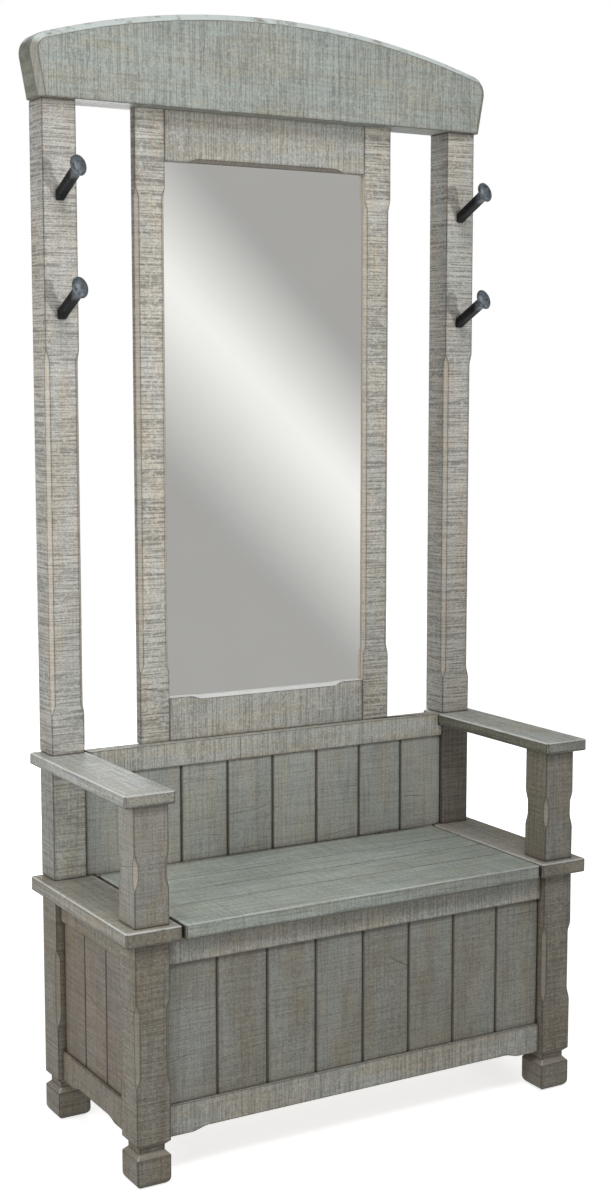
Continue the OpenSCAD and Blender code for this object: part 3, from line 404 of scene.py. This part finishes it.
def painted_wood(name, grain, paint, saw=0.6, fibres=0.3, speckle=0.3, patches=0.4, clouds=0.4,
                 cracks=0.55, haze=0.3, chamfer=0.5, chamfer_colour=colour(0.56, 0.49, 0.40), ends=0.6,
                 rims=0.0, corner=0.85, opening=None, top_edge=None, stain_and_shade=(0.62, 0.55, 0.45),
                 seams=(), cloud=(0.72, 0.72, 0.72), shaded_end=None, rough=0.60):
    """Grey-green paint over sawn wood, rubbed through to tan, with brown glaze in marks and edges.

    Edges and corners also carry painted shade and painted highlights. The numbers from saw to
    haze, and chamfer, ends, rims and corner, are strengths from 0 to 1. rims darkens the side faces
    as painted shade, and corner darkens closed-in places as glaze and painted shade.
    chamfer_colour is the colour of chamfers: rubbed wood and painted highlight on most boards,
    painted shade on the mirror's top rail, painted highlight on its foot and dark seams between
    boards. top_edge is the colour of chamfers that face up: worn paint and painted highlight.
    opening is a box whose rim takes chamfer_colour. stain_and_shade is what end grain keeps of the
    paint, as real staining, and what rims keep, as painted shade; cloud is what clouds keep. seams
    are the depths of glued joints, and shaded_end is where along X the painted shade at one end of
    the board begins and where it is full.
    """
    material, tree, shader = new_material(name)
    place = local(tree, "Object")
    board = tree.nodes.new("ShaderNodeNewGeometry").outputs["Random Per Island"]
    sawn = place_group(tree, SAWN_GRAIN, Vector=along_grain(tree, place, grain), Board=board)
    edge = place_group(tree, EDGE_GLAZE, Vector=place)
    facing = axes(tree, along_grain(tree, local(tree, "Normal"), grain))
    end_grain = step_up(tree, maths(tree, "ABSOLUTE", facing["Z"]), 0.75, 0.92)
    rim = step_up(tree, maths(tree, "ABSOLUTE", facing["X"]), 0.75, 0.92)

    def blend(coat, mask, amount, over):
        return mixed(tree, maths(tree, "MULTIPLY", mask, amount), coat, over)

    def tinted(coat, mask, amount, tint):
        return mixed(tree, maths(tree, "MULTIPLY", mask, amount), coat, colour(*tint), "MULTIPLY")

    def toned(coat, mask, amount, tone):
        return tinted(coat, mask, amount, (tone, tone, tone))

    def paint_times(kept):
        return colour(*[channel * share for channel, share in zip(paint, kept)])

    between_specks = maths(tree, "SUBTRACT", 1.0, sawn["Speckle"])
    between_marks = maths(tree, "SUBTRACT", 1.0, sawn["Saw Marks"])
    coat = blend(paint, sawn["Patches"], patches, paint_times(TAN))
    coat = blend(coat, end_grain, ends, paint_times(stain_and_shade))
    # Side faces darken: painted shade
    coat = blend(coat, rim, rims, paint_times(stain_and_shade))
    coat = tinted(coat, sawn["Clouds"], clouds, cloud)
    coat = toned(coat, between_specks, speckle, SPECK_PALE)
    coat = toned(coat, sawn["Speckle"], speckle * 0.4, SPECK_DARK)
    coat = toned(coat, sawn["Fibres"], fibres, MARK_TONE)
    coat = toned(coat, sawn["Saw Marks"], saw, MARK_TONE)
    coat = toned(coat, between_marks, saw * 0.5, BARE_TONE)
    coat = blend(coat, sawn["Cracks"], cracks, GLAZE_AND_SHADE)
    coat = blend(coat, edge["Haze"], haze, BROWN)
    coat = blend(coat, edge["Halo"], HALO_SHOWS, BROWN)
    # Chamfers take their own colour: rubbed wood and painted highlight, or painted shade where they
    # face down
    coat = blend(coat, edge["Chamfer"], chamfer, chamfer_colour)
    # Chamfers that face up turn pale: worn paint and painted highlight
    if top_edge:
        coat = blend(coat, edge["Top Chamfer"], TOP_EDGE_SHOWS, top_edge)
    coat = blend(coat, edge["Line"], LINE_SHOWS, GLAZE_AND_SHADE)
    # Upward edges turn pale: worn paint and painted highlight
    coat = blend(coat, edge["Worn Highlight"], WORN_HIGHLIGHT_SHOWS, BONE)
    # Closed-in corners and gaps darken: glaze and painted shade
    coat = blend(coat, step_up(tree, edge["Corner"], 0.15, 0.55), corner, GLAZE_AND_SHADE)
    if seams:
        coat = blend(coat, seam_lines(tree, place, seams), SEAM_SHOWS, GLAZE_AND_SHADE)
    # Darker towards one end along X: painted shade
    if shaded_end:
        end_shade = step_up(tree, axes(tree, place)["X"], *shaded_end)
        coat = toned(coat, end_shade, 1.0, END_SHADE_TONE)
    if opening:
        coat = blend(coat, inside(tree, place, opening), OPENING_SHOWS, chamfer_colour)
    wire(tree, coat, shader["Base Color"])
    fibre_rough = maths(tree, "MULTIPLY", sawn["Fibres"], 0.15)
    wire(tree, maths(tree, "ADD", rough, fibre_rough), shader["Roughness"])

    sunk = maths(tree, "ADD", sawn["Saw Marks"], maths(tree, "MULTIPLY", sawn["Cracks"], 1.5))
    sunk = maths(tree, "ADD", sunk, maths(tree, "MULTIPLY", sawn["Fibres"], 0.5))
    add_bump(tree, shader, sunk, strength=0.4, distance=0.0008, invert=True)
    return material


HEAD_DEPTH = 0.020          # metres behind a hook's tip to where its head is fully rubbed
HEAD_FADE = 0.036           # and to where the rubbing ends


def forged_iron():
    """Blackened iron with a hammered skin, rubbed to blue-grey steel on the heads."""
    material, tree, shader = new_material("forged_iron")
    place = local(tree, "Object")
    skin = noise(tree, place, scale=160.0, detail=3.0, roughness=0.6)
    dents = noise(tree, place, scale=55.0, detail=2.0)
    edge = place_group(tree, EDGE_GLAZE, Vector=place)
    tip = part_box("hook_upper_left")[0][1]
    head = step_up(tree, axes(tree, place)["Y"], tip + HEAD_FADE, tip + HEAD_DEPTH)
    black = colour(0.004, 0.004, 0.005)
    dusty_black = colour(0.014, 0.014, 0.016)
    rubbed_steel = colour(0.115, 0.140, 0.160)
    edge_steel = colour(0.12, 0.13, 0.14)
    iron = mixed(tree, step_up(tree, skin, 0.4, 0.7), black, dusty_black)
    rubbed = maths(tree, "MULTIPLY", head, step_up(tree, skin, 0.25, 0.6))
    iron = mixed(tree, rubbed, iron, rubbed_steel)
    iron = mixed(tree, maths(tree, "MULTIPLY", edge["Halo"], 0.35), iron, edge_steel)
    wire(tree, iron, shader["Base Color"])
    shader["Metallic"].default_value = 0.2
    gloss = maths(tree, "ADD", 0.2, maths(tree, "MULTIPLY", head, 0.4))
    wire(tree, gloss, shader["Specular IOR Level"])
    rough = maths(tree, "ADD", 0.48, maths(tree, "MULTIPLY", skin, 0.25))
    rough = maths(tree, "SUBTRACT", rough, maths(tree, "MULTIPLY", head, 0.2))
    wire(tree, rough, shader["Roughness"])
    height = maths(tree, "ADD", dents, maths(tree, "MULTIPLY", skin, 0.3))
    add_bump(tree, shader, height, strength=0.4, distance=0.001)
    return material


def silvered_glass():
    """Mirror glass with the faintest dust."""
    material, tree, shader = new_material("silvered_glass")
    dust = noise(tree, local(tree, "Object"), scale=6.0, detail=4.0)
    silver = mixed(tree, dust, colour(0.90, 0.90, 0.89), colour(0.94, 0.94, 0.93))
    wire(tree, silver, shader["Base Color"])
    shader["Metallic"].default_value = 1.0
    dull = maths(tree, "MULTIPLY", step_up(tree, dust, 0.5, 0.8), 0.03)
    wire(tree, dull, shader["Roughness"])
    return material


RING = (30, 30, 1.2)        # across, through and along a board, in waves per metre
PORE = (420, 420, 14)


def plain_wood(name, pale, dark, grain="across"):
    """Bare or sheet wood inside the chest and behind the mirror."""
    material, tree, shader = new_material(name)
    place = along_grain(tree, local(tree, "Object"), grain)
    rings = noise(tree, scaled(tree, place, *RING), detail=4.0, roughness=0.6, distortion=0.6)
    pores = noise(tree, scaled(tree, place, *PORE), detail=2.0)
    wood = mixed(tree, step_up(tree, rings, 0.3, 0.7), pale, dark)
    open_pores = maths(tree, "MULTIPLY", step_up(tree, pores, 0.55, 0.75), 0.35)
    wood = mixed(tree, open_pores, wood, dark)
    wire(tree, wood, shader["Base Color"])
    wire(tree, maths(tree, "ADD", 0.6, maths(tree, "MULTIPLY", rings, 0.2)), shader["Roughness"])
    add_bump(tree, shader, pores, strength=0.15, distance=0.0004)
    return material


def worn_metal(name, pale, dark, metallic, rough):
    """Metal of small fittings, spotted with dark wear."""
    material, tree, shader = new_material(name)
    spots = noise(tree, local(tree, "Object"), scale=240.0, detail=3.0)
    wire(tree, mixed(tree, step_up(tree, spots, 0.4, 0.7), dark, pale), shader["Base Color"])
    shader["Metallic"].default_value = metallic
    wire(tree, maths(tree, "ADD", rough, maths(tree, "MULTIPLY", spots, 0.2)), shader["Roughness"])
    return material


# ---------- finishes ----------

FRONT_PLANK = 0.117         # metres from the lid's front edge to its first seam
PLANK = 0.081               # and from each seam to the next
LID_SEAMS = 3
lid_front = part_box("lid_planks")[0][1]
lid_seams = [lid_front + FRONT_PLANK + count * PLANK for count in range(LID_SEAMS)]
opening = (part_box("mirror_left_stile")[1][0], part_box("mirror_bottom_rail")[1][2],
           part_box("mirror_right_stile")[0][0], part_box("mirror_top_rail")[0][2])

# Wear and painted highlights that several finishes share
TALL = {"saw": 0.9, "patches": 0.65, "fibres": 0.12}
RAIL = {"patches": 0.7, "fibres": 0.2, "speckle": 0.5, "chamfer": 0.0}
FLAT = {"saw": 0.45, "fibres": 0.45, "speckle": 0.45, "cracks": 0.15, "chamfer_colour": MINT,
        "chamfer": 0.0, "top_edge": BONE}
ARM_POST = {"patches": 0.8, "fibres": 0.35, "speckle": 0.5, "saw": 0.35}
MIRROR_RAIL = {"patches": 0.6, "fibres": 0.2, "speckle": 0.5}

# The paint differs from board to board, even between twins, to stand in for the fall of light
# in the main view. One paint for all of them suits any other light.
finish = {
    "post": painted_wood("post_paint", "upright", GREIGE, speckle=0.5, **TALL),
    "stile": painted_wood(
        "stile_paint", "upright", colour(0.466, 0.461, 0.420), speckle=0.55, corner=0.4,
        haze=0.0, opening=opening, **TALL),
    # Its upward chamfer is painted near white: painted highlight along the top edge, with worn
    # paint
    "crest": painted_wood(
        "crest_paint", "across", colour(0.338, 0.371, 0.342), patches=0.7, saw=0.55,
        fibres=0.2, speckle=0.4, chamfer_colour=colour(0.30, 0.27, 0.215), chamfer=0.55,
        top_edge=colour(0.72, 0.80, 0.78)),
    "rail": painted_wood("rail_paint", "across", colour(0.495, 0.50, 0.457), **RAIL),
    "front_rail": painted_wood("front_rail_paint", "across", colour(0.575, 0.58, 0.53), **RAIL),
    "side_rail": painted_wood(
        "side_rail_paint", "deep", colour(0.285, 0.26, 0.21), **dict(RAIL, patches=0.8)),
    # Its chamfer faces down and is painted dark: painted shade
    "mirror_top": painted_wood(
        "mirror_top_paint", "across", colour(0.40, 0.41, 0.38), chamfer_colour=colour(0.15, 0.13, 0.10),
        chamfer=0.7, corner=0.6, **MIRROR_RAIL),
    # Its chamfer and the rim of the opening face up and are painted white: painted highlight
    "mirror_foot": painted_wood(
        "mirror_foot_paint", "across", colour(0.44, 0.445, 0.41), chamfer_colour=BONE, chamfer=0.85,
        corner=0.4, opening=opening, **MIRROR_RAIL),
    "leg": painted_wood(
        "leg_paint", "upright", colour(0.27, 0.255, 0.21), saw=0.6, patches=0.8, fibres=0.3,
        speckle=0.6, chamfer_colour=colour(0.36, 0.32, 0.26)),
    "arm_post": painted_wood(
        "arm_post_paint", "upright", colour(0.345, 0.34, 0.30), **ARM_POST),
    # Darker than its left twin, and darker still on its sides: painted shade
    "right_arm_post": painted_wood(
        "right_arm_post_paint", "upright", colour(0.30, 0.295, 0.26), rims=0.8,
        chamfer_colour=colour(0.36, 0.33, 0.27), **ARM_POST),
    # Only the right mid post: far darker than its twin, as painted shadow of the right arm post
    "mid_post": painted_wood(
        "mid_post_paint", "upright", colour(0.19, 0.175, 0.145), patches=0.8, fibres=0.45),
    # Its sides are painted darker: painted shade
    "left_mid_post": painted_wood(
        "left_mid_post_paint", "upright", colour(0.535, 0.535, 0.48), patches=0.6, fibres=0.35,
        speckle=0.45, rims=1.0, stain_and_shade=(0.71, 0.71, 0.71)),
    "arm": painted_wood(
        "arm_paint", "deep", colour(0.485, 0.51, 0.485), patches=0.4, ends=0.7, rims=0.1,
        **FLAT),
    # Its side faces are painted dark brown: painted shade
    "right_arm": painted_wood(
        "right_arm_paint", "deep", colour(0.52, 0.545, 0.51), patches=0.5, ends=0.55, rims=1.0,
        stain_and_shade=(0.34, 0.32, 0.26), **FLAT),
    "seat_side": painted_wood(
        "seat_side_paint", "deep", colour(0.39, 0.38, 0.33), patches=0.7, ends=0.55, rims=0.1,
        **FLAT),
    # Its right end is painted darker: painted shade where the light falls off
    "lid": painted_wood(
        "lid_paint", "across", colour(0.452, 0.508, 0.46), patches=0.4, saw=0.35, fibres=0.5,
        speckle=0.45, cracks=0.1, chamfer=0.0, top_edge=BONE, seams=lid_seams,
        shaded_end=(0.05, 0.38), rough=0.46),
    "boards": painted_wood(
        "board_paint", "upright", colour(0.42, 0.44, 0.405), patches=0.55, saw=0.28, fibres=0.3,
        speckle=0.35, clouds=0.55, chamfer_colour=GLAZE_AND_SHADE, chamfer=0.55),
    "front_boards": painted_wood(
        "front_board_paint", "upright", colour(0.350, 0.362, 0.328), patches=0.6, saw=0.34,
        fibres=0.26, speckle=0.45, clouds=0.85, cloud=(0.76, 0.70, 0.61), chamfer_colour=GLAZE_AND_SHADE,
        chamfer=0.55),
    "side_boards": painted_wood(
        "side_board_paint", "upright", colour(0.27, 0.24, 0.20), patches=0.8, saw=0.5,
        fibres=0.18, speckle=0.4, chamfer_colour=GLAZE_AND_SHADE, chamfer=0.65),
}
FINISH_OF = {
    "crest_rail": "crest",
    "left_upper_post": "post", "right_upper_post": "post",
    "left_mid_post": "left_mid_post", "right_mid_post": "mid_post",
    "left_arm": "arm", "right_arm": "right_arm",
    "left_arm_post": "arm_post", "right_arm_post": "right_arm_post",
    "left_seat_side": "seat_side", "right_seat_side": "seat_side",
    "front_left_leg": "leg", "front_right_leg": "leg",
    "rear_left_leg": "leg", "rear_right_leg": "leg",
    "front_top_rail": "front_rail", "front_bottom_rail": "rail",
    "left_side_top_rail": "side_rail", "left_side_bottom_rail": "side_rail",
    "right_side_top_rail": "side_rail", "right_side_bottom_rail": "side_rail",
    "front_boards": "front_boards",
    "left_side_boards": "side_boards", "right_side_boards": "side_boards",
    "hinge_rail": "rail", "rear_bottom_rail": "rail",
    "seat_back_rail": "rail", "seat_back_boards": "boards",
    "lid_planks": "lid",
    "mirror_left_stile": "stile", "mirror_right_stile": "stile",
    "mirror_top_rail": "mirror_top", "mirror_bottom_rail": "mirror_foot",
}
iron = forged_iron()
bare_wood = plain_wood("bare_wood", colour(0.50, 0.38, 0.24), colour(0.36, 0.25, 0.14))
backing = plain_wood(
    "backing_board", colour(0.40, 0.30, 0.19), colour(0.30, 0.21, 0.12), "upright")
hinge_steel = worn_metal(
    "hinge_metal", colour(0.30, 0.29, 0.27), colour(0.14, 0.13, 0.12), metallic=0.8, rough=0.35)
screw_steel = worn_metal(
    "screw_steel", colour(0.62, 0.61, 0.58), colour(0.40, 0.39, 0.36), metallic=1.0, rough=0.25)
CAD_FINISH = {
    "mirror_glass": silvered_glass(), "mirror_backing": backing, "rear_panel": backing,
    "chest_floor": bare_wood, "floor_cleats": bare_wood, "lid_battens": bare_wood,
    "post_dowels": bare_wood, "mirror_dowels": bare_wood,
    "hinge_frame_leaves": hinge_steel, "hinge_lid_leaves": hinge_steel,
    "hinge_pins": hinge_steel, "mirror_clips": hinge_steel,
    "hinge_frame_screws": screw_steel, "hinge_lid_screws": screw_steel,
    "mirror_clip_screws": screw_steel,
}


def coat(piece, material):
    """Makes one material the only one of a piece."""
    piece.data.materials.clear()
    piece.data.materials.append(material)


# ---------- pieces ----------

# How far sandpaper has rounded the edges of each finish, in metres
EASING = {
    "crest": 0.0015, "leg": 0.0015,
    "post": 0.0012, "arm_post": 0.0012, "right_arm_post": 0.0012,
    "arm": 0.0006, "right_arm": 0.0006, "seat_side": 0.0006, "lid": 0.0006,
    "boards": 0.0005, "front_boards": 0.0005, "side_boards": 0.0005,
}
USUAL_EASING = 0.001
EASING_STEPS = 2
JOIN_GAP = 0.00001          # metres; corners nearer than this are one corner
FLAT_ANGLE = 0.5            # degrees; faces that meet at less are one face
SHARP_ANGLE = 50            # and edges sharper than this are eased
SMOOTH_ANGLE = 32           # and softer ones than this are shaded round
HOOKS = ("hook_upper_left", "hook_lower_left", "hook_upper_right", "hook_lower_right")


def select_only(piece):
    """Deselects everything, then selects one object and makes it the active one."""
    bpy.ops.object.select_all(action="DESELECT")
    piece.select_set(True)
    bpy.context.view_layer.objects.active = piece


def eased_copy(node, easing):
    """Copies a CAD solid and joins its loose faces.

    Its sharp edges are eased as sandpaper does, and never past the solid's own box. With an
    easing of 0 they stay sharp.
    """
    cad = nodes[node]
    piece = cad.copy()
    piece.data = cad.data.copy()
    piece.name = node + "_eased"
    piece.parent = None
    for key in list(piece.keys()):
        del piece[key]
    bpy.context.scene.collection.objects.link(piece)
    select_only(piece)
    bpy.ops.mesh.customdata_custom_splitnormals_clear()
    bpy.ops.object.mode_set(mode="EDIT")
    bpy.ops.mesh.select_all(action="SELECT")
    bpy.ops.mesh.remove_doubles(threshold=JOIN_GAP)
    bpy.ops.mesh.dissolve_limited(angle_limit=math.radians(FLAT_ANGLE))
    bpy.ops.object.mode_set(mode="OBJECT")
    if easing:
        bevel = piece.modifiers.new("easing", "BEVEL")
        bevel.limit_method = "ANGLE"
        bevel.angle_limit = math.radians(SHARP_ANGLE)
        bevel.width = easing
        bevel.segments = EASING_STEPS
        bevel.use_clamp_overlap = False
        bpy.ops.object.modifier_apply(modifier=bevel.name)
        low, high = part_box(node)
        for vertex in piece.data.vertices:
            vertex.co = [min(max(value, least), most)
                         for value, least, most in zip(vertex.co, low, high)]
    bpy.ops.object.shade_smooth_by_angle(angle=math.radians(SMOOTH_ANGLE))
    faces = piece.modifiers.new("true_faces", "WEIGHTED_NORMAL")
    faces.keep_sharp = True
    bpy.ops.object.modifier_apply(modifier=faces.name)
    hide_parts(node)
    return piece


bodies = frame["record"]["behaviour"]["bodies"]
body_of = {node: body for body, members in bodies.items() for node in members}
pieces = {}
for node, kind in FINISH_OF.items():
    pieces[node] = eased_copy(node, EASING.get(kind, USUAL_EASING))
    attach(pieces[node], body_of[node])
    coat(pieces[node], finish[kind])
for hook in HOOKS:
    pieces[hook] = eased_copy(hook, 0)
    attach(pieces[hook], body_of[hook])
    coat(pieces[hook], iron)
for node, material in CAD_FINISH.items():
    coat(nodes[node], material)


# ---------- studio ----------

CARD_WIDTH, CARD_HEIGHT = 30, 16
CARD_AT = (0, -3.81, 0)
BAND_AT = (2.243, 1.398)    # a point in the middle of the white band, in metres along X and Z
BAND_SLOPE = math.radians(-44.2)
FADE_ABOVE = 1.11           # how fast the band fades above its middle
FADE_BELOW = 0.87
FLOOR_SIZE = 14
FLOOR_FADE = (0.9, 2.6)     # metres from the middle, where the floor turns from grey to white
WORLD_LIGHT = 0.176
BACKDROP_LIGHT = 0.824      # what the white backdrop adds to that in the camera's eyes


def studio_plane(name, width, height, centre, turn):
    """Flat card or floor of the studio."""
    bpy.ops.object.select_all(action="DESELECT")
    bpy.ops.mesh.primitive_plane_add(size=1, location=centre, rotation=turn)
    card = bpy.context.object
    card.name = name
    card.scale = (width, height, 1)
    return card


def aim(light, at, target):
    """Puts a light in its place, turned to its target."""
    light.location = at
    light.rotation_euler = (Vector(target) - Vector(at)).to_track_quat("-Z", "Y").to_euler()
    bpy.context.scene.collection.objects.link(light)


def softbox(name, at, target, width, height, power):
    """Rectangular light, with its power in watts."""
    data = bpy.data.lights.new(name, "AREA")
    data.shape = "RECTANGLE"
    data.size = width
    data.size_y = height
    data.energy = power
    aim(bpy.data.objects.new(name, data), at, target)


def spotlight(name, at, target, half_angle, radius, power):
    """Round lamp with a soft cone; half_angle is in degrees and power in watts."""
    data = bpy.data.lights.new(name, "SPOT")
    data.spot_size = math.radians(2 * half_angle)
    data.spot_blend = 1.0
    data.shadow_soft_size = radius
    data.energy = power
    aim(bpy.data.objects.new(name, data), at, target)


def reflection_card():
    """Grey card with one soft white band. Only the mirror and other glossy surfaces see it."""
    card = studio_plane(
        "reflection_card", CARD_WIDTH, CARD_HEIGHT, CARD_AT, (math.radians(90), 0, 0))
    material = bpy.data.materials.new("card_glow")
    material.use_nodes = True
    tree = material.node_tree
    tree.nodes.clear()
    place = axes(tree, tree.nodes.new("ShaderNodeNewGeometry").outputs["Position"])
    right = maths(tree, "SUBTRACT", place["X"], BAND_AT[0])
    right = maths(tree, "MULTIPLY", right, -math.sin(BAND_SLOPE))
    up = maths(tree, "SUBTRACT", place["Z"], BAND_AT[1])
    up = maths(tree, "MULTIPLY", up, math.cos(BAND_SLOPE))
    away = maths(tree, "ADD", right, up)
    above = maths(tree, "MULTIPLY", away, FADE_ABOVE)
    below = maths(tree, "MULTIPLY", away, -FADE_BELOW)
    ramp = tree.nodes.new("ShaderNodeValToRGB")
    ramp.color_ramp.elements[0].position = 0.0
    ramp.color_ramp.elements[0].color = colour(0.955, 0.95, 0.93)
    ramp.color_ramp.elements[1].position = 0.55
    ramp.color_ramp.elements[1].color = colour(0.415, 0.41, 0.40)
    for position, value in ((0.08, 0.905), (0.26, 0.69), (0.42, 0.51), (0.5, 0.43)):
        element = ramp.color_ramp.elements.new(position)
        element.color = colour(value, value * 0.995, value * 0.975)
    wire(tree, maths(tree, "MAXIMUM", above, below), ramp.inputs[0])
    glow = tree.nodes.new("ShaderNodeEmission")
    wire(tree, ramp.outputs[0], glow.inputs["Color"])
    end = tree.nodes.new("ShaderNodeOutputMaterial")
    wire(tree, glow.outputs[0], end.inputs["Surface"])
    coat(card, material)
    card.visible_camera = False
    card.visible_diffuse = False
    card.visible_shadow = False


def studio_floor():
    """Pale floor that turns into the white backdrop away from its middle."""
    floor = studio_plane("studio_floor", FLOOR_SIZE, FLOOR_SIZE, (0, 0, 0), (0, 0, 0))
    material, tree, shader = new_material("studio_floor")
    place = tree.nodes.new("ShaderNodeNewGeometry").outputs["Position"]
    reach = tree.nodes.new("ShaderNodeVectorMath")
    reach.operation = "LENGTH"
    wire(tree, place, reach.inputs[0])
    far = step_up(tree, reach.outputs["Value"], *FLOOR_FADE)
    mottle = noise(tree, place, scale=3.0, detail=2.0)
    surface = mixed(tree, mottle, colour(0.80, 0.80, 0.80), colour(0.82, 0.82, 0.82))
    wire(tree, surface, shader["Base Color"])
    shader["Roughness"].default_value = 0.9
    glow = mixed(tree, far, colour(0.72, 0.72, 0.72), colour(1, 1, 1))
    wire(tree, glow, shader["Emission Color"])
    shader["Emission Strength"].default_value = 1.0
    coat(floor, material)
    floor.visible_diffuse = False


def studio_world():
    """White backdrop for the camera, and much dimmer light on everything else."""
    world = bpy.data.worlds.new("studio")
    bpy.context.scene.world = world
    world.use_nodes = True
    tree = world.node_tree
    seen = tree.nodes.new("ShaderNodeLightPath").outputs["Is Camera Ray"]
    backdrop = tree.nodes["Background"]
    light = maths(tree, "ADD", maths(tree, "MULTIPLY", seen, BACKDROP_LIGHT), WORLD_LIGHT)
    wire(tree, light, backdrop.inputs["Strength"])
    backdrop.inputs["Color"].default_value = colour(1, 1, 1)


reflection_card()
studio_floor()
spotlight("key", at=(2.4, -8.0, 1.8), target=(-0.2, 0.1, 1.76),
          half_angle=9.0, radius=0.06, power=960)
softbox("top", at=(-0.8, -3.2, 5.2), target=(-0.1, 0, 1.0), width=2.4, height=1.6, power=113)
softbox("left", at=(-1.9, 0.35, 1.5), target=(-0.5, 0.15, 1.3), width=0.6, height=1.2, power=8.7)
softbox("front_left", at=(-1.6, -0.9, 1.15), target=(-0.5, -0.1, 0.85),
        width=0.6, height=0.8, power=8.0)
softbox("back", at=(1.1, 3.6, 0.95), target=(0, 0.2, 1.0), width=0.8, height=1.4, power=45)
studio_world()
